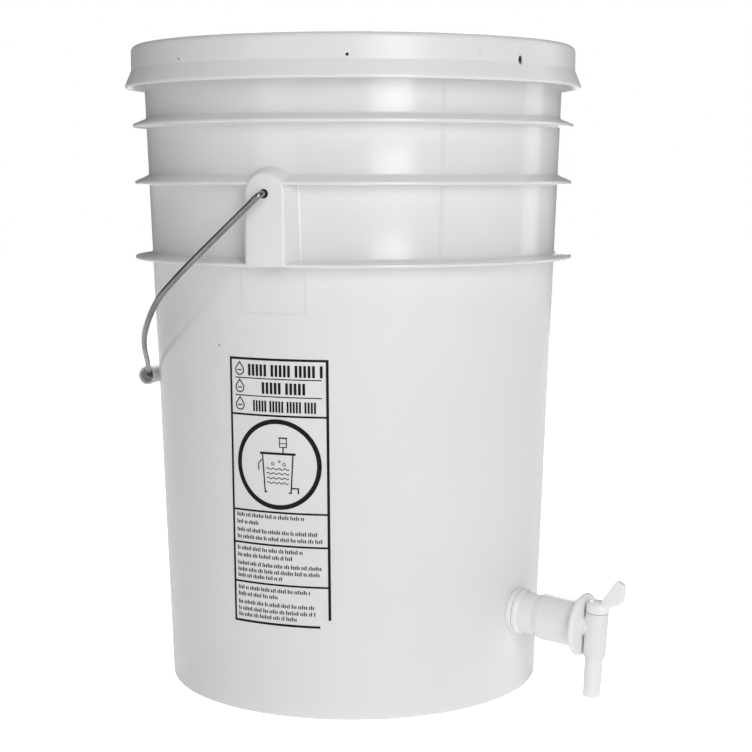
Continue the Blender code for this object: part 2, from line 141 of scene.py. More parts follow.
# one arm of the wire: distance sideways and distance from the hinge
BAIL_ARM = ((160.9, 10.0), (162.2, 40.0), (162.7, 70.0), (161.2, 86.0), (157.9, 98.8),
            (149.6, 112.0), (137.0, 126.6), (121.5, 141.3), (104.0, 154.6), (86.0, 166.5),
            (66.0, 179.0))
GRIP_HALF = 42.0
GRIP_R = 6.3
GRIP_END_R = 6.8
GRIP_BORE_R = 2.3
GRIP_MOUTH_R = 5.2
GRIP_MOUTH_DEPTH = 8.0
GRIP_END_W = 2.6

# ---- tap --------------------------------------------------------------------------------
TAP_AZ = -11.3
TAP_Z = 59.5
TAP_DROOP = 3.5
STEM_R = 12.0
STEM_IN = 17.0
STEM_BORE_R = 9.2
WALL_HOLE_R = 12.7
WASHER_R = 15.9
WASHER_BORE_R = 12.4
WASHER_FACE = 2.9
INNER_WASHER_R = 17.0
INNER_WASHER_FACE = -5.4
NUT_CORNER_R = 19.4
NUT_FROM = -13.0
NUT_TO = -5.7
THREAD_PITCH = 2.5
THREAD_FROM = -15.6
THREAD_TO = -5.2
THREAD_SECTION = ((-0.75, -0.6), (0.0, 0.22), (0.75, -0.6))
COLLAR_R = 15.6
COLLAR_FROM = 3.2
COLLAR_TO = 5.4
NECK_R = 14.1
NECK_FROM = 7.0
NECK_TO = 17.8
BARREL_R = 16.1
BARREL_FROM = 22.6
CHAMBER_R = 12.6
CHAMBER_FROM = 24
CHAMBER_TO = 41
OUTLET_R = 4.8
DISC_R = 21.5
DISC_FROM = 48.6
DISC_TO = 52.2
BRIDGE_R = 7.0             # short link between the disc and the sleeve
PLUG_AT = 60.3
SLEEVE_R = 7.8
SLEEVE_LOW_R = 7.5
SLEEVE_TOP = 10.2
SLEEVE_BOTTOM = -20.0
SOCKET_R = 6.5
KEY_R = 6.2
KEY_GAP = 0.3
KEY_PORT_R = 3.8
NOZZLE_R = 5.8
NOZZLE_BORE_R = 4.4
NOZZLE_BORE_TOP = 4.6
NOZZLE_TIP = -48.0
DOME_TOP = 18.0
DOME_BEND = 7.2
PADDLE_T = 4.0
# outline of the paddle: distance forward of the key's axis and height on it
PADDLE = ((1.0, 12.5), (1.0, 16.0), (2.6, 18.2), (12.6, 34.4), (14.2, 34.6), (18.5, 32.6),
          (18.4, 21.4), (15.8, 18.4), (8.0, 14.6), (5.0, 12.5))


# ---- mesh helpers -----------------------------------------------------------------------
UP = Vector((0, 0, 1))
RIGHT = Vector((1, 0, 0))


def new_object(name, data):
    made = bpy.data.objects.new(name, data)
    bpy.context.scene.collection.objects.link(made)
    return made


def object_from(name, points, faces):
    """Closed mesh object from points in millimetres, normals made to face out."""
    mesh = bpy.data.meshes.new(name)
    mesh.from_pydata([tuple(c * MM for c in p) for p in points], [], faces)
    work = bmesh.new()
    work.from_mesh(mesh)
    bmesh.ops.recalc_face_normals(work, faces=work.faces)
    work.to_mesh(mesh)
    work.free()
    return new_object(name, mesh)


def rounded(corners, steps=5, closed=False):
    """Outline with each (x, y, radius) corner replaced by an arc of that radius."""
    count = len(corners)
    outline = []
    for k, (x, y, radius) in enumerate(corners):
        here = Vector((x, y))
        if radius <= 0 or (not closed and k in (0, count - 1)):
            outline.append((x, y))
            continue
        before = Vector(corners[k - 1][:2]) - here
        after = Vector(corners[(k + 1) % count][:2]) - here
        room = 0.49 * min(before.length, after.length)
        before.normalize()
        after.normalize()
        half = before.angle(after) / 2
        reach = min(radius / math.tan(half), room)
        if reach < 1e-4 or half > math.radians(89):
            outline.append((x, y))
            continue
        size = reach * math.tan(half)
        centre = here + (before + after).normalized() * (size / math.sin(half))
        start = here + before * reach - centre
        sweep = start.angle_signed(here + after * reach - centre)
        for s in range(steps + 1):
            turn = -sweep * s / steps
            c, d = math.cos(turn), math.sin(turn)
            outline.append((centre.x + start.x * c - start.y * d,
                            centre.y + start.x * d + start.y * c))
    return outline


def placed(points, place):
    """The points moved into a frame, if one is given."""
    return [place @ Vector(p) for p in points] if place else points


def band(low, high, count):
    """Side faces between two rings of points that start at low and at high."""
    faces = []
    for k in range(count):
        n = (k + 1) % count
        faces.append([low + k, low + n, high + n, high + k])
    return faces


def revolve(name, outline, count, place=None):
    """Turn an outline of (radius, height) round +Z; a radius of 0 is a point on the axis."""
    points = []
    rows = []
    for radius, height in outline:
        if radius < 1e-6:
            rows.append([len(points)] * count)
            points.append((0.0, 0.0, height))
            continue
        rows.append(list(range(len(points), len(points) + count)))
        for k in range(count):
            turn = 2 * math.pi * k / count
            points.append((radius * math.cos(turn), radius * math.sin(turn), height))
    faces = []
    for low, high in zip(rows, rows[1:] + rows[:1]):
        if low[0] == low[1] and high[0] == high[1]:
            continue
        for k in range(count):
            n = (k + 1) % count
            faces.append(list(dict.fromkeys([low[k], low[n], high[n], high[k]])))
    return object_from(name, placed(points, place), faces)


def prism(name, outline, low, high, place=None, edge=0.0):
    """Straight block from height low to high, its edges rounded by edge."""
    count = len(outline)
    points = [(x, y, low) for x, y in outline] + [(x, y, high) for x, y in outline]
    faces = [list(range(count))[::-1], list(range(count, 2 * count))]
    faces += band(0, count, count)
    made = object_from(name, placed(points, place), faces)
    if edge:
        soften(made, edge, 40)
    return made


def soften(made, edge, angle):
    """Round every edge sharper than the angle."""
    work = bmesh.new()
    work.from_mesh(made.data)
    limit = math.radians(angle)
    sharp = [e for e in work.edges if e.is_manifold and e.calc_face_angle() > limit]
    bmesh.ops.bevel(work, geom=sharp, offset=edge * MM, segments=3, profile=0.5,
                    affect="EDGES", clamp_overlap=True)
    work.to_mesh(made.data)
    work.free()


def ellipse(half_x, half_y, count):
    turns = [2 * math.pi * k / count for k in range(count)]
    return [(half_x * math.cos(turn), half_y * math.sin(turn)) for turn in turns]


def rod(name, radius, low, high, count, place=None):
    outline = ((0, low), (radius, low), (radius, high), (0, high))
    return revolve(name, outline, count, place)


def combine(target, tool, operation):
    """Apply an exact boolean to the target and drop the tool."""
    step = target.modifiers.new("cut", "BOOLEAN")
    step.operation = operation
    step.solver = "EXACT"
    step.object = tool
    bpy.context.view_layer.update()
    graph = bpy.context.evaluated_depsgraph_get()
    result = bpy.data.meshes.new_from_object(target.evaluated_get(graph))
    target.modifiers.clear()
    target.data = result
    bpy.data.objects.remove(tool)


def tube(name, line, normal, radius, sides):
    """Round wire along a flat centreline whose plane has the given normal."""
    points = []
    count = len(line)
    for k, centre in enumerate(line):
        heading = (line[min(k + 1, count - 1)] - line[max(k - 1, 0)]).normalized()
        across = heading.cross(normal)
        end = min(k, count - 1 - k)
        size = radius * WIRE_END[min(end, 2)]
        for s in range(sides):
            turn = 2 * math.pi * s / sides
            spoke = across * math.cos(turn) + normal * math.sin(turn)
            points.append(centre + spoke * size)
    faces = [list(range(sides)), list(range(len(points) - sides, len(points)))]
    for k in range(count - 1):
        faces += band(k * sides, (k + 1) * sides, sides)
    return object_from(name, points, faces)


def dress(made, look, body, nodes=(), smooth_angle=32):
    """Merge, shade and paint a piece, and tie it to its CAD body and the nodes it replaces."""
    work = bmesh.new()
    work.from_mesh(made.data)
    bmesh.ops.remove_doubles(work, verts=work.verts, dist=0.000001)
    bmesh.ops.recalc_face_normals(work, faces=work.faces)
    work.to_mesh(made.data)
    work.free()
    made.data.materials.clear()
    made.data.materials.append(look)
    made.data.shade_smooth()
    made.data.set_sharp_from_angle(angle=math.radians(smooth_angle))
    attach(made, body)
    if nodes:
        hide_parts(*nodes)
    return made


# ---- shared geometry --------------------------------------------------------------------
def wall_r(height):
    return WALL_R0 + WALL_SLOPE * height


def axes_frame(origin, x_axis, z_axis):
    """Frame with the given X and Z directions (millimetres)."""
    z_axis = z_axis.normalized()
    x_axis = x_axis.normalized()
    y_axis = z_axis.cross(x_axis)
    made = Matrix((x_axis, y_axis, z_axis)).transposed().to_4x4()
    made.translation = origin
    return made


def tap_frames():
    """Frame along the tap barrel (+Z out of the wall, +X up) and frame of the upright plug."""
    azimuth = math.radians(TAP_AZ)
    droop = math.radians(TAP_DROOP)
    level = Vector((math.sin(azimuth), -math.cos(azimuth), 0.0))
    outward = level * math.cos(droop) - UP * math.sin(droop)
    rising = level * math.sin(droop) + UP * math.cos(droop)
    start = level * wall_r(TAP_Z) + UP * TAP_Z
    barrel = axes_frame(start, rising, outward)
    plug = axes_frame(start + outward * PLUG_AT, outward, rising)
    return barrel, plug


BARREL, PLUG = tap_frames()


# ---- node materials ---------------------------------------------------------------------
class Nodes:
    """Short way to add and join shader nodes."""

    def __init__(self, name):
        self.material = bpy.data.materials.new(name)
        self.material.use_nodes = True
        self.tree = self.material.node_tree
        self.shader = self.tree.nodes["Principled BSDF"]
        self.place = self.add("ShaderNodeTexCoord").outputs["Object"]

    def add(self, kind, **values):
        node = self.tree.nodes.new(kind)
        for key, value in values.items():
            setattr(node, key, value)
        return node

    def link(self, source, target):
        self.tree.links.new(source, target)

    def scaled(self, scale):
        node = self.add("ShaderNodeMapping")
        node.inputs["Scale"].default_value = scale
        self.link(self.place, node.inputs["Vector"])
        return node.outputs["Vector"]

    def noise(self, scale, detail=3.0, rough=0.5, stretch=None, distortion=0.0):
        node = self.add("ShaderNodeTexNoise")
        node.inputs["Scale"].default_value = scale
        node.inputs["Detail"].default_value = detail
        node.inputs["Roughness"].default_value = rough
        node.inputs["Distortion"].default_value = distortion
        vector = self.scaled(stretch) if stretch else self.place
        self.link(vector, node.inputs["Vector"])
        return node.outputs["Fac"]

    def ramp(self, source, low, high, out_low, out_high):
        node = self.add("ShaderNodeMapRange")
        node.inputs["From Min"].default_value = low
        node.inputs["From Max"].default_value = high
        node.inputs["To Min"].default_value = out_low
        node.inputs["To Max"].default_value = out_high
        self.link(source, node.inputs["Value"])
        return node.outputs["Result"]

    def mix(self, factor, first, second):
        node = self.add("ShaderNodeMix", data_type="RGBA")
        self.link(factor, node.inputs["Factor"])
        for key, value in (("A", first), ("B", second)):
            socket = [s for s in node.inputs if s.name == key and s.type == "RGBA"][0]
            if isinstance(value, tuple):
                socket.default_value = (*value, 1.0)
            else:
                self.link(value, socket)
        return [s for s in node.outputs if s.type == "RGBA"][0]

    def sum(self, first, second, weight):
        node = self.add("ShaderNodeMath", operation="MULTIPLY_ADD")
        self.link(second, node.inputs[0])
        node.inputs[1].default_value = weight
        self.link(first, node.inputs[2])
        return node.outputs["Value"]

    def bump(self, height, strength, distance):
        node = self.add("ShaderNodeBump")
        node.inputs["Strength"].default_value = strength
        node.inputs["Distance"].default_value = distance
        self.link(height, node.inputs["Height"])
        self.link(node.outputs["Normal"], self.shader.inputs["Normal"])


def plastic(name, colour, rough, scatter=0.12, fade=0.02):
    """Moulded polyolefin: faint cloudiness, fine pebble, light scuffs, soft scattering."""
    n = Nodes(name)
    shade = tuple(c - fade for c in colour)
    cloud = n.noise(9.0, 3.0, 0.55)
    flow = n.noise(22.0, 2.0, 0.5, stretch=(1.0, 1.0, 0.18))
    tone = n.mix(n.ramp(cloud, 0.35, 0.68, 0.0, 1.0), colour, shade)
    speck = n.noise(900.0, 2.0, 0.6)
    lighter = tuple(min(1.0, c * 1.02) for c in colour)
    tone = n.mix(n.ramp(speck, 0.62, 0.74, 0.0, 0.5), tone, lighter)
    n.link(tone, n.shader.inputs["Base Color"])
    scuff = n.noise(140.0, 4.0, 0.65, stretch=(1.0, 1.0, 0.35), distortion=0.6)
    gloss_map = n.ramp(n.sum(flow, scuff, 0.6), 0.45, 1.15, rough - 0.04, rough + 0.06)
    n.link(gloss_map, n.shader.inputs["Roughness"])
    pebble = n.noise(1600.0, 2.0, 0.5)
    n.bump(n.sum(pebble, scuff, 0.7), 0.06, 0.00006)
    n.shader.inputs["Subsurface Weight"].default_value = scatter
    n.shader.inputs["Subsurface Radius"].default_value = (1.0, 0.95, 0.85)
    n.shader.inputs["Subsurface Scale"].default_value = 0.004
    n.shader.inputs["Specular IOR Level"].default_value = 0.5
    n.shader.inputs["IOR"].default_value = 1.51
    return n.material


def rubber(name, colour, rough):
    """Matt rubber with a little pale dust on it."""
    n = Nodes(name)
    dust = n.noise(260.0, 4.0, 0.6)
    pale = tuple(min(1.0, c * 1.25 + 0.02) for c in colour)
    n.link(n.mix(n.ramp(dust, 0.5, 0.8, 0.0, 0.7), colour, pale), n.shader.inputs["Base Color"])
    n.link(n.ramp(dust, 0.3, 0.8, rough - 0.06, rough + 0.08), n.shader.inputs["Roughness"])
    n.bump(n.noise(1200.0, 3.0, 0.6), 0.2, 0.00015)
    n.shader.inputs["Specular IOR Level"].default_value = 0.35
    return n.material


def zinc(name):
    """Bright zinc plating on drawn wire: lengthwise draw marks and dull patches."""
    n = Nodes(name)
    patch = n.noise(55.0, 4.0, 0.6)
    tone = n.mix(n.ramp(patch, 0.35, 0.7, 0.0, 1.0), (0.32, 0.325, 0.34), (0.20, 0.205, 0.22))
    n.link(tone, n.shader.inputs["Base Color"])
    draw = n.noise(900.0, 3.0, 0.6, stretch=(0.12, 1.0, 1.0))
    n.link(n.ramp(n.sum(patch, draw, 0.5), 0.45, 1.1, 0.09, 0.24), n.shader.inputs["Roughness"])
    n.bump(n.sum(draw, patch, 0.5), 0.08, 0.00005)
    n.shader.inputs["Metallic"].default_value = 1.0
    return n.material


def printed(name):
    """Screen ink: near black, slightly uneven, satin."""
    n = Nodes(name)
    wear = n.noise(700.0, 3.0, 0.6)
    tone = n.mix(n.ramp(wear, 0.45, 0.8, 0.0, 1.0), (0.004, 0.004, 0.004), (0.018, 0.018, 0.018))
    n.link(tone, n.shader.inputs["Base Color"])
    n.link(n.ramp(wear, 0.3, 0.8, 0.48, 0.66), n.shader.inputs["Roughness"])
    n.bump(wear, 0.08, 0.00005)
    n.shader.inputs["Specular IOR Level"].default_value = 0.2
    return n.material


# ---- pail -------------------------------------------------------------------------------
def pail_outline():
    corners = [(0, 0, 0), (HUB_R, 0, 0.5), (HUB_R + 1, FOOT_RISE, 0.8),
               (FOOT_R - 1, FOOT_RISE, 0.8), (FOOT_R, 0, 0.5), (wall_r(0), 0, 2.2)]
    for tip_r, tip_z, rise in HOOPS:
        under = tip_z - HOOP_TIP
        top = tip_z + rise
        corners += [(wall_r(under), under - 0.3, 0.8), (tip_r, under, 0.75),
                    (tip_r, tip_z + HOOP_TIP, 0.75), (wall_r(top), top, 2.0)]
    foot, low, high, end = RIM_RING_Z
    corners += [(wall_r(foot), foot, 1.5), (RIM_RING_R, low, 0.8), (RIM_RING_R, high, 0.8),
                (RIM_FOOT_R, end, 0.8), (RIM_R, RIM_Z, 1.0), (0, RIM_Z, 0)]
    return rounded(corners, 5)


def ear_outline(half, top, bottom, steps=36):
    arch = []
    for k in range(steps + 1):
        turn = math.pi * k / steps
        arch.append((half * math.cos(turn), EAR_Z + top * math.sin(turn)))
    return arch + [(-half, bottom), (half, bottom)]


def stack(name, rings):
    """Closed block through rings of equal point count."""
    count = len(rings[0])
    points = [p for ring in rings for p in ring]
    last = len(points) - count
    faces = [list(range(count)), list(range(last, last + count))[::-1]]
    for k in range(len(rings) - 1):
        faces += band(k * count, (k + 1) * count, count)
    return object_from(name, points, faces)


def ear_root():
    """X of an ear's root in the wall, and how fast its sides spread towards it."""
    root_x = wall_r(EAR_Z) - EAR_ROOT_SINK
    return root_x, (EAR_ROOT_HALF - EAR_FACE_HALF) / (EAR_FACE_X - root_x)


def ear_block(side):
    """Drafted boss with a rounded front edge."""
    root_x, draft = ear_root()
    lean = (EAR_ROOT_TOP - EAR_FACE_HALF) / (EAR_FACE_X - root_x)
    rings = []
    for x in (EAR_INSIDE_X, EAR_FACE_X - EAR_EDGE - 2.5):
        inset_x = EAR_FACE_X - x
        rings.append((x, EAR_FACE_HALF + draft * inset_x, EAR_FACE_HALF + lean * inset_x))
    for k in range(6):
        turn = math.radians(18 * k)
        x = EAR_FACE_X - EAR_EDGE * (1 - math.sin(turn))
        inset = EAR_EDGE * (1 - math.cos(turn))
        inset_x = EAR_FACE_X - x
        half = EAR_FACE_HALF + draft * inset_x - inset
        rings.append((x, half, EAR_FACE_HALF + lean * inset_x - inset))
    return stack("ear_block", [[(side * x, y, z) for y, z in ear_outline(half, top, EAR_BOTTOM_Z)]
                               for x, half, top in rings])


def ear_pocket(side):
    half = EAR_FACE_HALF - EAR_WALL + 0.2
    outline = ear_outline(half, half, EAR_BOTTOM_Z - 6, 24)
    pocket = stack("ear_pocket", [[(side * x, y, z) for y, z in outline]
                                  for x in (EAR_POCKET_X, EAR_FACE_X - EAR_WALL)])
    low, high = EAR_BOTTOM_Z - 20, EAR_Z + 40
    keep = ((0, low), (wall_r(low) + 0.25, low), (wall_r(high) + 0.25, high), (0, high))
    combine(pocket, revolve("wall_keep", keep, ROUND), "DIFFERENCE")
    return pocket


def pail_inside():
    inner = wall_r(0) - WALL_T
    top = RIM_Z + 8
    outline = rounded([(0, FLOOR_Z, 0), (inner + 0.2, FLOOR_Z, 4.0),
                       (inner + WALL_SLOPE * top, top, 0), (0, top, 0)], 8)
    return revolve("pail_inside", outline, ROUND)


def build_pail(look):
    pail = revolve("pail_shell", pail_outline(), ROUND)
    for side in (-1, 1):
        combine(pail, ear_block(side), "UNION")
    for side in (-1, 1):
        combine(pail, ear_pocket(side), "DIFFERENCE")
    combine(pail, pail_inside(), "DIFFERENCE")
    across = axes_frame(UP * EAR_Z, UP, RIGHT)
    for side in (-1, 1):
        low, high = sorted((side * (EAR_FACE_X - EAR_WALL - 2), side * (EAR_FACE_X + 2)))
        combine(pail, rod("ear_hole", EAR_HOLE_R, low, high, 32, across), "DIFFERENCE")
    combine(pail, rod("wall_hole", WALL_HOLE_R, -12, 8, 64, BARREL), "DIFFERENCE")
    for k in range(FOOT_RIBS):
        spin = Matrix.Rotation(2 * math.pi * (k + 0.5) / FOOT_RIBS, 4, "Z")
        near, far, half = HUB_R - 2, FOOT_R + 2, FOOT_RIB_HALF
        bar = ((near, -half), (far, -half), (far, half), (near, half))
        combine(pail, prism("foot_rib", bar, *FOOT_RIB_Z, spin), "UNION")
    return dress(pail, look, "pail", ("bucket_body",))


# ---- marks and print on the wall --------------------------------------------------------
PANEL_AZ = -89.6           # azimuth of the panel's centre line at its top
PANEL_LEAN = -0.5          # azimuth change from its top to its foot
PANEL_TOP = 240.0
PANEL_FOOT = 63.3
INK_LOW = -0.03            # ink layer, distances from the wall surface
INK_HIGH = 0.10
INK_SPECK = (-44.5, -43.6, 247.0, 247.9)   # stray dot beside the panel
WORD_LENGTHS = (5, 3, 7, 4, 2, 6, 5, 3)    # ticks in each group of a text row


def on_wall(across, height, lift):
    """Point on the pail wall: distance across the panel's centre line, height, lift."""
    share = (PANEL_TOP - height) / (PANEL_TOP - PANEL_FOOT)
    radius = wall_r(height)
    azimuth = math.radians(PANEL_AZ + PANEL_LEAN * share) + across / radius
    return ((radius + lift) * math.sin(azimuth), -(radius + lift) * math.cos(azimuth), height)


class Layer:
    """Thin closed strips that lie on the pail wall, gathered into one mesh."""

    def __init__(self, low, high):
        self.low = low
        self.high = high
        self.points = []
        self.faces = []

    def strip(self, left, right):
        """A strip between two lines of equal point count, each point (across, height)."""
        count = len(left)
        base = len(self.points)
        for lift in (self.low, self.high):
            for side in (left, right):
                self.points += [on_wall(x, y, lift) for x, y in side]
        a, b, c, d = (base + k * count for k in range(4))
        for k in range(count - 1):
            self.faces.append([a + k, a + k + 1, b + k + 1, b + k])
            self.faces.append([c + k, d + k, d + k + 1, c + k + 1])
            self.faces.append([a + k, c + k, c + k + 1, a + k + 1])
            self.faces.append([b + k, b + k + 1, d + k + 1, d + k])
        for k in (0, count - 1):
            self.faces.append([a + k, b + k, d + k, c + k])

    def bar(self, x0, x1, y0, y1):
        """Upright rectangle, cut fine enough to follow the curve of the wall."""
        cuts = max(1, round(abs(x1 - x0) / 2.0))
        xs = [x0 + (x1 - x0) * k / cuts for k in range(cuts + 1)]
        self.strip([(x, y0) for x in xs], [(x, y1) for x in xs])

    def line(self, path, width, closed=False):
        """Line of constant width along a path of (across, height) points."""
        pts = [Vector(p) for p in path]
        count = len(pts)
        left, right = [], []
        for k, p in enumerate(pts):
            before = pts[k - 1] if (k or closed) else p
            after = pts[(k + 1) % count] if (k < count - 1 or closed) else p
            one = (p - before).normalized() if before != p else (after - p).normalized()
            two = (after - p).normalized() if after != p else one
            mid = (one + two).normalized()
            side = Vector((-mid.y, mid.x))
            stretch = 1.0 / max(0.4, side.dot(Vector((-one.y, one.x))))
            offset = side * (width / 2 * stretch)
            left.append(tuple(p - offset))
            right.append(tuple(p + offset))
        if closed:
            left.append(left[0])
            right.append(right[0])
        self.strip(left, right)

    def build(self, name, look):
        made = object_from(name, self.points, self.faces)
        return dress(made, look, "pail", smooth_angle=30)


def curve_points(centre, radius_x, radius_y, start, end, steps):
    points = []
    for k in range(steps + 1):
        turn = math.radians(start + (end - start) * k / steps)
        points.append((centre[0] + radius_x * math.cos(turn),
                       centre[1] + radius_y * math.sin(turn)))
    return points


def droplet(layer, x, low, high):
    """Outline of a drop with a small level line in it."""
    half = (high - low) * 0.36
    centre = low + half + 0.3
    path = [(x, high)]
    path += curve_points((x, centre), half, half, 35, -215, 20)
    layer.line(path, 0.75, closed=True)
    layer.bar(x - half * 0.55, x + half * 0.55, centre - 0.35, centre + 0.35)


def heading(layer, x0, x1, y0, y1, pitch):
    """Row of plain upright strokes in groups of five, standing in for a heading."""
    x = x0
    k = 0
    while x + pitch * 0.62 <= x1:
        layer.bar(x, x + pitch * 0.62, y0, y1)
        k += 1
        x += pitch * (1.75 if k % 5 == 0 else 1.0)


def text_row(layer, x0, x1, y, seed):
    """Row of small ticks in word-like groups, every third one a little taller."""
    pitch, thick = 1.3, 0.72
    x = x0
    group = seed
    while x < x1 - pitch:
        for k in range(WORD_LENGTHS[group % len(WORD_LENGTHS)]):
            if x + thick > x1:
                return
            tall = 0.75 if (group + k) % 3 == 0 else 0.0
            layer.bar(x, x + thick, y - 1.0, y + 1.0 + tall)
            x += pitch
        x += 0.8
        group += 1


PANEL_HALF = 34.2
FOOT_RULE_END = 27.9       # the frame is open at its lower right corner
RIGHT_RULE_END = 68.2
FRAME_W = 1.55
RULE_W = 1.25
THIN_RULE_W = 0.66
THIN_RULE_HALF = 30.6
DIVIDERS = (203.2, 139.1, 116.9, 90.2)
THIN_RULES = (227.3, 215.7)
TEXT_ROWS = ((135.6, 18.9), (130.7, -12.1), (125.3, 28.4), (120.7, 30.5), (112.8, 17.2),
             (108.2, 9.8), (102.6, 31.5), (98.3, 28.1), (94.2, 2.0), (85.9, 22.5),
             (81.5, -0.9), (76.0, 25.6), (71.5, 25.6), (67.4, 13.6))
SYMBOL_AT = -27.2
SYMBOL_ROWS = ((228.9, 237.6), (217.5, 226.1), (205.9, 214.5))
# heading rows: left, right, foot, top, pitch of the strokes
HEADINGS = ((-20.5, 31.6, 228.9, 236.6, 2.9), (-10.4, 22.1, 217.5, 225.0, 2.9),
            (-17.1, 28.4, 205.6, 212.9, 2.1))
TEXT_LEFT = -31.4
RING_AT = (0.1, 171.1)
RING_OUT = 30.0
RING_W = 3.1


def pictogram(layer):
    """Plain fermenting pail with waves of liquid, a lid, a tap and an airlock."""
    x, base = RING_AT[0], RING_AT[1] - 18.5
    top = base + 25.0
    layer.line([(x - 10.8, top), (x - 9.2, base), (x + 9.2, base), (x + 10.8, top)], 0.9)
    layer.bar(x - 12.6, x + 12.6, top, top + 1.5)
    layer.line([(x + 9.6, base + 3.2), (x + 14.2, base + 3.2), (x + 14.2, base - 0.4)], 0.9)
    layer.line([(x - 11.4, top - 3.5), (x - 13.9, top - 6.5), (x - 13.7, top - 11.0)], 0.7)
    for row in range(4):
        y = base + 15.6 - row * 3.1
        half = 8.2 - row * 0.22
        wave = []
        for k in range(25):
            s = k / 24
            wave.append((x - half + 2 * half * s, y + 0.55 * math.sin(s * 8 * math.pi)))
        layer.line(wave, 0.55)
    for dx, dy, r in ((-3.5, 19.0, 0.9), (1.2, 20.6, 0.65), (4.6, 18.8, 1.0)):
        layer.line(curve_points((x + dx, base + dy), r, r, 0, 342, 19), 0.4, closed=True)
    layer.bar(x + 3.6, x + 4.4, top + 1.5, top + 5.2)
    layer.line([(x + 1.6, top + 11.0), (x + 1.6, top + 5.2), (x + 6.4, top + 5.2),
                (x + 6.4, top + 11.0)], 0.6)
    layer.bar(x + 1.9, x + 6.1, top + 7.4, top + 7.9)
    layer.bar(x + 1.0, x + 7.0, top + 10.8, top + 11.7)


def build_print(look):
    ink = Layer(INK_LOW, INK_HIGH)
    half = PANEL_HALF
    edge = FRAME_W / 2
    heights = [PANEL_FOOT + (PANEL_TOP - PANEL_FOOT) * k / 12 for k in range(13)]
    ink.strip([(-half - edge, y) for y in heights], [(-half + edge, y) for y in heights])
    right = [max(y, RIGHT_RULE_END) for y in heights]
    ink.strip([(half - edge, y) for y in right], [(half + edge * 1.3, y) for y in right])
    ink.bar(-half - edge, half + edge * 1.3, PANEL_TOP - edge, PANEL_TOP + edge)
    ink.bar(-half - edge, FOOT_RULE_END, PANEL_FOOT - edge, PANEL_FOOT + edge)
    for y in DIVIDERS:
        ink.bar(-half, half, y - RULE_W / 2, y + RULE_W / 2)
    for y in THIN_RULES:
        ink.bar(-THIN_RULE_HALF, THIN_RULE_HALF, y - THIN_RULE_W / 2, y + THIN_RULE_W / 2)
    for low, high in SYMBOL_ROWS:
        droplet(ink, SYMBOL_AT, low, high)
    for row in HEADINGS:
        heading(ink, *row)
    ring = RING_OUT - RING_W / 2
    ink.line(curve_points(RING_AT, ring, ring, 0, 356.25, 95), RING_W, closed=True)
    pictogram(ink)
    for k, (y, end) in enumerate(TEXT_ROWS):
        text_row(ink, TEXT_LEFT, end, y, 3 * k)
    ink.bar(*INK_SPECK)
    return ink.build("print_panel", look)


SLIDE_AZ = (-90.2, 89.8)   # outlines that the mould slides leave below the ears
SLIDE_HALF_AZ = 9.1
SLIDE_Z = (270.0, 299.8)
PARTING_AZ = (-45.5, 134.5)
# heights of the parting lines, between the hoops
PARTING_RUNS = ((304.6, 351.9), (358.8, 391.2), (397.6, 417.0))


def across_at(azimuth, height):
    """Distance across the panel's centre line of a point on the wall."""
    share = (PANEL_TOP - height) / (PANEL_TOP - PANEL_FOOT)
    return math.radians(azimuth - PANEL_AZ - PANEL_LEAN * share) * wall_r(height)


def upright(layer, azimuth_at, height0, height1, width):
    """Narrow strip up the wall; azimuth_at gives its azimuth at a height."""
    ys = [height0 + (height1 - height0) * k / 6 for k in range(7)]
    xs = [across_at(azimuth_at(y), y) for y in ys]
    layer.strip([(x - width / 2, y) for x, y in zip(xs, ys)],
                [(x + width / 2, y) for x, y in zip(xs, ys)])


def ring_strip(layer, azimuth0, azimuth1, height0, height1, width):
    """Outline of a rectangle on the wall, given by azimuths and heights."""
    for azimuth in (azimuth0, azimuth1):
        upright(layer, lambda height: azimuth, height0, height1, width)
    cuts = [azimuth0 + (azimuth1 - azimuth0) * k / 20 for k in range(21)]
    for height in (height0, height1):
        layer.strip([(across_at(a, height), height - width / 2) for a in cuts],
                    [(across_at(a, height), height + width / 2) for a in cuts])


def ear_root_angle(height):
    """Angle from an ear's middle to the line where its side meets the wall."""
    _, draft = ear_root()
    half = EAR_FACE_HALF + draft * (EAR_FACE_X - wall_r(height))
    return math.degrees(math.asin(half / wall_r(height)))


def build_mould_marks(look):
    """Faint outlines below the ears from the mould slides, and the twin parting lines."""
    outlines = Layer(-0.10, 0.07)
    for azimuth in SLIDE_AZ:
        ring_strip(outlines, azimuth - SLIDE_HALF_AZ, azimuth + SLIDE_HALF_AZ, *SLIDE_Z, 0.7)
    ridges = Layer(-0.10, 0.22)
    for azimuth in PARTING_AZ:
        for low, high in PARTING_RUNS:
            for shift in (-0.35, 0.35):
                upright(ridges, lambda height: azimuth + shift, low, high, 0.6)
    for layer, name in ((outlines, "mould_marks"), (ridges, "parting_lines")):
        made = layer.build(name, look)


def build_ear_beads(look):
    """Small rounded bead at each ear side's root; its paler plastic is a painted highlight."""
    for ear in (-1, 1):
        for side in (-1, 1):
            line = []
            for k in range(9):
                height = BEAD_FROM_Z + (BEAD_TO_Z - BEAD_FROM_Z) * k / 8
                turn = math.radians(side * ear_root_angle(height))
                line.append(Vector((ear * wall_r(height) * math.cos(turn),
                                    wall_r(height) * math.sin(turn), height)))
            bead = tube("ear_bead", line, ear * RIGHT, BEAD_R, 12)
            dress(bead, look, "pail")


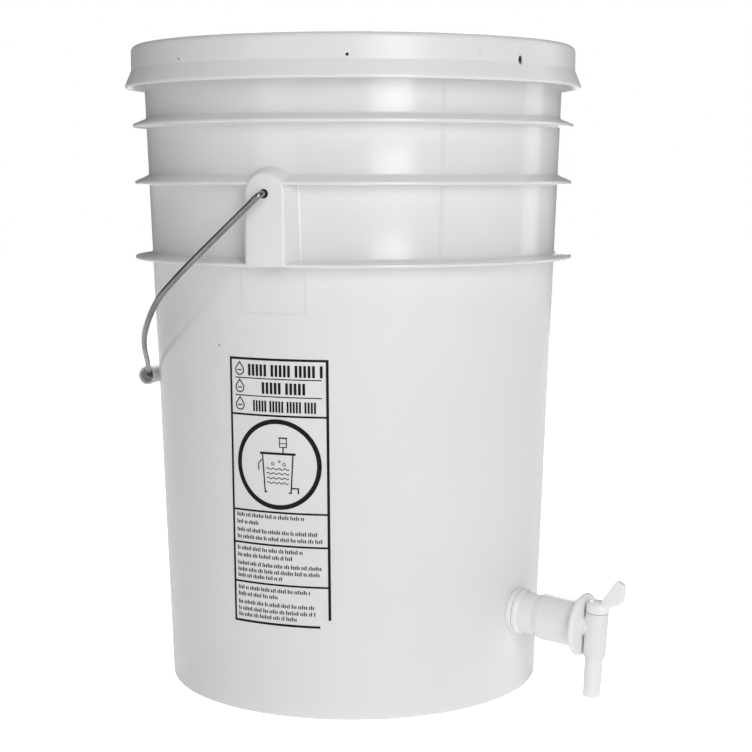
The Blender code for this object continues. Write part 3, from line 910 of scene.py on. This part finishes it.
# ---- lid --------------------------------------------------------------------------------
def build_lid(look):
    panel = LID_PANEL_Z
    under = panel - LID_T
    crest = panel + STACK_RING_RISE
    inner, crest_in, crest_out, outer = STACK_RING_R
    lip_low, lip_high = LIP_Z
    corners = [(0, panel, 0), (inner, panel, 1.2), (crest_in, crest, 0.7),
               (crest_out, crest, 0.7), (outer, panel, 1.2), (LID_PANEL_R, panel, 2.2),
               (LID_RIM_IN_R, LID_TOP_Z, 1.4), (SKIRT_R, LID_TOP_Z, 4.0),
               (SKIRT_R, FLARE_Z, 2.5), (LIP_R, lip_high, 1.0), (LIP_R, lip_low, 0.9),
               (LIP_IN_R, lip_low, 0.6), (SKIRT_IN_R, FLARE_IN_Z, 2.0),
               (SKIRT_IN_R, LID_TOP_Z - LID_T, 1.6),
               (PLUG_RING_R, LID_TOP_Z - LID_T, 1.0), (PLUG_RING_R, under, 2.0),
               (0, under, 0)]
    lid = revolve("lid_shell", rounded(corners, 6), ROUND)
    for k in range(SKIRT_HOLES):
        azimuth = math.radians(SKIRT_HOLE_AZ + 360 / SKIRT_HOLES * k)
        outward = Vector((math.sin(azimuth), -math.cos(azimuth), 0))
        slot = k == SKIRT_HOLES - 1
        height = SLOT_Z if slot else SKIRT_HOLE_Z
        half_h = SLOT_HALF_H if slot else SKIRT_HOLE_R
        half_w = SLOT_HALF_W if slot else SKIRT_HOLE_R
        place = axes_frame(UP * height, UP, outward)
        hole = prism("skirt_hole", ellipse(half_h, half_w, 32), *SKIRT_CUT_R, place)
        combine(lid, hole, "DIFFERENCE")
        if slot:
            oval = ellipse(half_h + SLOT_RELIEF_UP, half_w + SLOT_RELIEF_SIDE, 32)
            relief = prism("slot_relief", oval, SKIRT_CUT_R[0], SKIRT_R - SLOT_LIP, place)
            combine(lid, relief, "DIFFERENCE")
    spot = Matrix.Translation((0, GROMMET_Y, 0))
    combine(lid, rod("grommet_hole", GROMMET_HOLE_R, 425, 440, 64, spot), "DIFFERENCE")
    return dress(lid, look, "lid", ("lid",))


def build_gasket(look):
    low = RIM_Z + GASKET_GAP
    high = LID_TOP_Z - LID_T - GASKET_GAP
    outline = rounded([(GASKET_IN_R, low, 0.8), (GASKET_OUT_R, low, 0.8),
                       (GASKET_OUT_R, high, 0.8), (GASKET_IN_R, high, 0.8)], 4, closed=True)
    gasket = revolve("gasket_ring", outline, ROUND)
    return dress(gasket, look, "lid", ("lid_gasket",))


def build_grommet(look):
    """Stepped ring that grips the lid panel from both sides."""
    bore, wide, waist = GROMMET_BORE_R, GROMMET_R, GROMMET_WAIST_R
    over, under = LID_PANEL_Z + GROMMET_GAP, LID_PANEL_Z - LID_T - GROMMET_GAP
    foot, crown = LID_PANEL_Z - LID_T - GROMMET_DOWN, LID_PANEL_Z + GROMMET_UP
    outline = rounded([(bore, foot, 0.5), (wide, foot, 1.0), (wide, under, 0.4),
                       (waist, under, 0.2), (waist, over, 0.2), (wide, over, 0.4),
                       (wide, crown, 1.2), (bore, crown, 0.6)], 5, closed=True)
    spot = Matrix.Translation((0, GROMMET_Y, 0))
    grommet = revolve("airlock_grommet", outline, 72, spot)
    return dress(grommet, look, "lid", ("lid_grommet",))


# ---- bail -------------------------------------------------------------------------------
def smooth_through(knots, steps):
    """Points of a smooth curve that passes through the knots."""
    ends = [2 * knots[0] - knots[1]] + list(knots) + [2 * knots[-1] - knots[-2]]
    points = []
    for a, b, c, d in zip(ends, ends[1:], ends[2:], ends[3:]):
        for k in range(steps):
            t = k / steps
            points.append(0.5 * (2 * b + (c - a) * t + (2 * a - 5 * b + 4 * c - d) * t * t
                                 + (3 * b - a - 3 * c + d) * t * t * t))
    points.append(knots[-1])
    return points


def arc(centre, radius, first, last, steps):
    points = []
    for k in range(steps + 1):
        turn = math.radians(first + (last - first) * k / steps)
        points.append(centre + radius * Vector((math.cos(turn), math.sin(turn))))
    return points


def bail_half():
    """Centreline of the right half in the bail plane, from the hooked end to the grip."""
    hook = [Vector((HOOK_X, y)) for y in HOOK_Y]
    hook += arc(Vector((HOOK_X + HOOK_BEND, HOOK_BEND)), HOOK_BEND, 180, 270, 10)
    elbow = arc(Vector((ELBOW_X, ELBOW_BEND)), ELBOW_BEND, -90, 0, 12)
    arm = smooth_through([Vector(p) for p in BAIL_ARM], 8)
    turn_in = Vector((GRIP_HALF - 9, BAIL_REACH - GRIP_BEND))
    into_grip = arc(turn_in, GRIP_BEND, 54, 90, 12)
    return hook + elbow + arm + into_grip


def bail_plane():
    """Direction from the hinge to the grip, and the normal of the bail's plane."""
    droop = math.radians(BAIL_DROOP)
    reach = Vector((0, math.cos(droop), -math.sin(droop)))
    return reach, RIGHT.cross(reach)


def build_bail(look):
    half = bail_half()
    flat = half + [Vector((-p.x, p.y)) for p in reversed(half)]
    reach, normal = bail_plane()
    line = [UP * EAR_Z + RIGHT * p.x + reach * p.y for p in flat]
    wire = tube("bail_rod", line, normal, WIRE_R, 24)
    return dress(wire, look, "bail", ("bail_wire",), 40)


def build_grip(look):
    end = GRIP_HALF
    mouth = GRIP_HALF - GRIP_MOUTH_DEPTH
    half = [(GRIP_BORE_R, mouth - 1.5, 0.4), (GRIP_MOUTH_R, mouth + 0.5, 1.0),
            (GRIP_MOUTH_R, end, 0.5), (GRIP_END_R, end, 0.8),
            (GRIP_END_R, end - GRIP_END_W, 1.2), (GRIP_R, end - 4.0, 1.2)]
    corners = half + [(r, -z, f) for r, z, f in reversed(half)]
    reach, _ = bail_plane()
    place = axes_frame(UP * EAR_Z + reach * BAIL_REACH, reach, RIGHT)
    grip = revolve("grip_roller", rounded(corners, 5, closed=True), 96, place)
    return dress(grip, look, "grip", ("bail_grip",))


# ---- tap --------------------------------------------------------------------------------
def build_tap_body(look):
    corners = [(0, -STEM_IN, 0), (STEM_R, -STEM_IN, 1.0), (STEM_R, COLLAR_FROM, 0.3),
               (COLLAR_R, COLLAR_FROM, 0.5), (COLLAR_R, COLLAR_TO, 1.2),
               (NECK_R, NECK_FROM, 1.4), (NECK_R, NECK_TO, 2.0), (BARREL_R, BARREL_FROM, 1.6),
               (BARREL_R, DISC_FROM, 1.2), (DISC_R, DISC_FROM, 1.4), (DISC_R, DISC_TO, 1.8),
               (BRIDGE_R, DISC_TO, 1.2), (BRIDGE_R, PLUG_AT - 1, 0), (0, PLUG_AT - 1, 0)]
    body = revolve("tap_barrel", rounded(corners, 6), 128, BARREL)
    sleeve = rounded([(0, SLEEVE_BOTTOM, 0), (SLEEVE_LOW_R, SLEEVE_BOTTOM, 0.5),
                      (SLEEVE_R, SLEEVE_TOP, 0.3), (0, SLEEVE_TOP, 0)], 4)
    combine(body, revolve("sleeve", sleeve, 96, PLUG), "UNION")
    mouth = -STEM_IN - 3
    inside = rounded([(0, mouth, 0), (STEM_BORE_R, mouth, 0),
                      (STEM_BORE_R, CHAMBER_FROM - 4, 1.5), (CHAMBER_R, CHAMBER_FROM, 1.5),
                      (CHAMBER_R, CHAMBER_TO, 1.5), (OUTLET_R, CHAMBER_TO + 5.5, 1.0),
                      (OUTLET_R, PLUG_AT, 0), (0, PLUG_AT, 0)], 4)
    combine(body, revolve("waterway", inside, 96, BARREL), "DIFFERENCE")
    low, high = SLEEVE_BOTTOM - 4, SLEEVE_TOP + 4
    combine(body, rod("socket", SOCKET_R, low, high, 96, PLUG), "DIFFERENCE")
    return dress(body, look, "pail", ("spigot_body",))


def build_tap_plug(look):
    rest = SLEEVE_TOP + KEY_GAP
    corners = [(0, NOZZLE_BORE_TOP, 0), (NOZZLE_BORE_R, NOZZLE_BORE_TOP, 2.5),
               (NOZZLE_BORE_R, NOZZLE_TIP, 0.3), (NOZZLE_R, NOZZLE_TIP, 0.5),
               (KEY_R, SLEEVE_BOTTOM - 0.8, 0), (KEY_R, rest, 0.2), (SLEEVE_R, rest, 0.35),
               (SLEEVE_R, DOME_TOP, DOME_BEND), (0, DOME_TOP, 0)]
    piece = revolve("tap_key", rounded(corners, 10), 96, PLUG)
    on_edge = PLUG @ Matrix.Rotation(math.pi / 2, 4, "X")
    flat = rounded([(a, h, 1.2) for a, h in PADDLE], 4, closed=True)
    paddle = prism("paddle", flat, -PADDLE_T / 2, PADDLE_T / 2, on_edge, 0.7)
    combine(piece, paddle, "UNION")
    inward = -(BARREL.to_3x3() @ UP)
    port = axes_frame(PLUG.translation, UP, inward)
    combine(piece, rod("port", KEY_PORT_R, 1.0, 9.0, 40, port), "DIFFERENCE")
    return dress(piece, look, "tap", ("spigot_plug",))


def wall_depth(up, side, radius_at_floor):
    """Distance along the tap axis at which a line beside it meets a cone wall."""
    depth = 0.0
    for _ in range(12):
        p = BARREL @ Vector((up, side, depth))
        depth += radius_at_floor + WALL_SLOPE * p.z - math.hypot(p.x, p.y)
    return depth


def shaped_washer(name, outer_r, flat_at, radius_at_floor):
    """Ring with one flat face square to the tap and one face that follows the wall."""
    count = 96
    inner_r = WASHER_BORE_R
    points = []
    for radius, on_face in ((inner_r, True), (outer_r, True), (outer_r, False),
                            (inner_r, False)):
        for k in range(count):
            turn = 2 * math.pi * k / count
            up, side = radius * math.cos(turn), radius * math.sin(turn)
            depth = wall_depth(up, side, radius_at_floor) if on_face else flat_at
            points.append(BARREL @ Vector((up, side, depth)))
    faces = []
    for ring in range(4):
        faces += band(ring * count, (ring + 1) % 4 * count, count)
    washer = object_from(name, points, faces)
    soften(washer, 0.35, 50)
    return washer


def build_washers(look):
    face = WALL_R0 + 0.05
    outer = shaped_washer("wall_washer_outer", WASHER_R, WASHER_FACE, face)
    dress(outer, look, "pail", ("spigot_outer_washer",))
    face = WALL_R0 - WALL_T - 0.3
    inner = shaped_washer("wall_washer_inner", INNER_WASHER_R, INNER_WASHER_FACE, face)
    dress(inner, look, "pail", ("spigot_inner_washer",))


def build_nut(look):
    """Hexagon nut with chamfered corners."""
    far, near = NUT_FROM, NUT_TO
    corners = []
    for k in range(6):
        turn = math.pi * (k + 0.5) / 3
        corners.append((NUT_CORNER_R * math.cos(turn), NUT_CORNER_R * math.sin(turn), 1.0))
    nut = prism("tap_nut", rounded(corners, 3, closed=True), far, near, BARREL)
    shell = ((0, far), (17.2, far), (18.9, far + 1.6), (20.5, near), (0, near))
    combine(nut, revolve("nut_chamfer", shell, 96, BARREL), "INTERSECT")
    bore = rod("nut_bore", STEM_R + 0.3, far - 3, near + 3, 96, BARREL)
    combine(nut, bore, "DIFFERENCE")
    return dress(nut, look, "pail", ("spigot_nut",), 25)


def build_thread(look):
    """Helical thread on the stem, from its inner end up to the washer."""
    start, end = THREAD_FROM, THREAD_TO
    turns = (end - start) / THREAD_PITCH
    steps = int(turns * 48)
    points = []
    for k in range(steps + 1):
        turn = 2 * math.pi * turns * k / steps
        depth = start + (end - start) * k / steps
        fade = min(1.0, k / 24, (steps - k) / 24)
        for along, rise in THREAD_SECTION:
            radius = STEM_R + (rise if rise < 0 else -0.5 + (rise + 0.5) * fade)
            points.append(BARREL @ Vector((radius * math.cos(turn), radius * math.sin(turn),
                                           depth + along)))
    faces = [[0, 1, 2], [3 * steps + 2, 3 * steps + 1, 3 * steps]]
    for k in range(steps):
        faces += band(3 * k, 3 * k + 3, 3)
    thread = object_from("stem_thread", points, faces)
    return dress(thread, look, "pail", (), 50)


# ---- floor, light, camera ---------------------------------------------------------------
FLOOR_GLOW = 0.34          # light that the paper gives the pail
FLOOR_SHOWN = 0.86         # and how bright it looks
FILL = 0.15                # light from the surroundings
FLOOR_HALF = 6000.0
FLOOR_DROP = 0.2           # how far the paper lies under the foot ring
LIGHT_AIM_M = (0, 0, 0.22)
# softboxes: azimuth, elevation, distance (m), width (m), height (m), power (W)
LIGHTS = {
    "key_box": (-49.3, 20, 2.4, 0.9, 1.8, 20.0),
    "strip_box": (-43.3, 17, 2.4, 0.7, 1.5, 5.2),
    "side_box": (-109.3, 15, 2.4, 0.9, 1.8, 5.6),
    "rim_box": (45.0, 15, 2.4, 0.7, 1.8, 5.6),
    "back_box": (110.0, 20, 2.4, 0.9, 1.8, 18.0),
    "top_box": (-69.3, 80, 2.2, 1.8, 1.8, 5.0),
}


def floor_look():
    """White paper that glows a little, as a lit table does."""
    n = Nodes("studio_floor")
    grain = n.noise(30.0, 3.0, 0.5)
    tone = n.mix(n.ramp(grain, 0.3, 0.7, 0.0, 1.0), (0.93, 0.93, 0.93), (0.95, 0.95, 0.95))
    n.link(tone, n.shader.inputs["Base Color"])
    n.shader.inputs["Roughness"].default_value = 0.9
    n.shader.inputs["Specular IOR Level"].default_value = 0.0
    n.shader.inputs["Emission Color"].default_value = (1.0, 1.0, 1.0, 1.0)
    path = n.add("ShaderNodeLightPath")
    n.link(n.ramp(path.outputs["Is Camera Ray"], 0.0, 1.0, FLOOR_GLOW, FLOOR_SHOWN),
           n.shader.inputs["Emission Strength"])
    return n.material


def build_floor():
    """Flat pale floor, large enough for every view."""
    half, drop = FLOOR_HALF, -FLOOR_DROP
    points = [(-half, -half, drop), (half, -half, drop), (half, half, drop), (-half, half, drop)]
    mesh = bpy.data.meshes.new("studio_floor")
    mesh.from_pydata([tuple(c * MM for c in p) for p in points], [], [[0, 1, 2, 3]])
    floor = new_object("studio_floor", mesh)
    floor.data.materials.append(floor_look())


def area_light(name, azimuth, elevation, distance, width, height, power):
    """Softbox aimed at the middle of the pail; azimuth 0 is the front, 90 is +X."""
    a, e = math.radians(azimuth), math.radians(elevation)
    middle = Vector(LIGHT_AIM_M)
    away = Vector((math.sin(a) * math.cos(e), -math.cos(a) * math.cos(e), math.sin(e)))
    data = bpy.data.lights.new(name, "AREA")
    data.shape = "RECTANGLE"
    data.size = width
    data.size_y = height
    data.energy = power
    lamp = new_object(name, data)
    lamp.location = middle + away * distance
    lamp.rotation_euler = away.to_track_quat("Z", "Y").to_euler()


def build_light():
    """White to the camera, a dim cool fill to everything else, and the softboxes."""
    world = bpy.data.worlds.new("studio")
    world.use_nodes = True
    tree = world.node_tree
    back = tree.nodes["Background"]
    back.inputs["Color"].default_value = (1.0, 1.0, 1.0, 1.0)
    back.inputs["Strength"].default_value = 1.0
    fill = tree.nodes.new("ShaderNodeBackground")
    fill.inputs["Color"].default_value = (0.96, 0.98, 1.0, 1.0)
    fill.inputs["Strength"].default_value = FILL
    path = tree.nodes.new("ShaderNodeLightPath")
    mix = tree.nodes.new("ShaderNodeMixShader")
    tree.links.new(path.outputs["Is Camera Ray"], mix.inputs["Fac"])
    tree.links.new(fill.outputs["Background"], mix.inputs[1])
    tree.links.new(back.outputs["Background"], mix.inputs[2])
    tree.links.new(mix.outputs["Shader"], tree.nodes["World Output"].inputs["Surface"])
    bpy.context.scene.world = world
    for name, setting in LIGHTS.items():
        area_light(name, *setting)


def build_camera():
    data = bpy.data.cameras.new("camera")
    data.lens = CAMERA_LENS
    data.sensor_width = CAMERA_SENSOR
    data.clip_end = 50.0
    camera = new_object("camera", data)
    camera.location = CAMERA_AT_M
    camera.rotation_euler = (math.radians(90 + CAMERA_PITCH), 0.0, math.radians(CAMERA_YAW))
    bpy.context.scene.camera = camera


def main():
    pail = plastic("pail_look", (0.800, 0.797, 0.802), 0.17)
    lid = plastic("lid_look", (0.800, 0.799, 0.797), 0.30)
    white = plastic("grip_look", (0.82, 0.82, 0.80), 0.38, fade=0.03)
    # paler than the pail: painted highlight along the ear beads
    edge = plastic("bead_painted_highlight_look", (0.94, 0.94, 0.94), 0.14)
    tap = plastic("tap_look", (0.865, 0.87, 0.86), 0.24, 0.25)
    key = plastic("tap_key_look", (0.89, 0.89, 0.885), 0.16, 0.25)
    nut = plastic("nut_look", (0.80, 0.80, 0.77), 0.42, fade=0.03)
    washer = rubber("washer_look", (0.90, 0.90, 0.89), 0.5)
    gasket = rubber("gasket_look", (0.50, 0.50, 0.48), 0.7)
    black = rubber("grommet_look", (0.03, 0.03, 0.03), 0.6)
    build_camera()
    build_pail(pail)
    build_mould_marks(pail)
    build_ear_beads(edge)
    build_print(printed("ink_look"))
    build_lid(lid)
    build_gasket(gasket)
    build_grommet(black)
    build_bail(zinc("zinc_look"))
    build_grip(white)
    build_tap_body(tap)
    build_tap_plug(key)
    build_washers(washer)
    build_nut(nut)
    build_thread(tap)
    build_floor()
    build_light()
    bpy.context.scene.view_settings.view_transform = "Standard"


main()
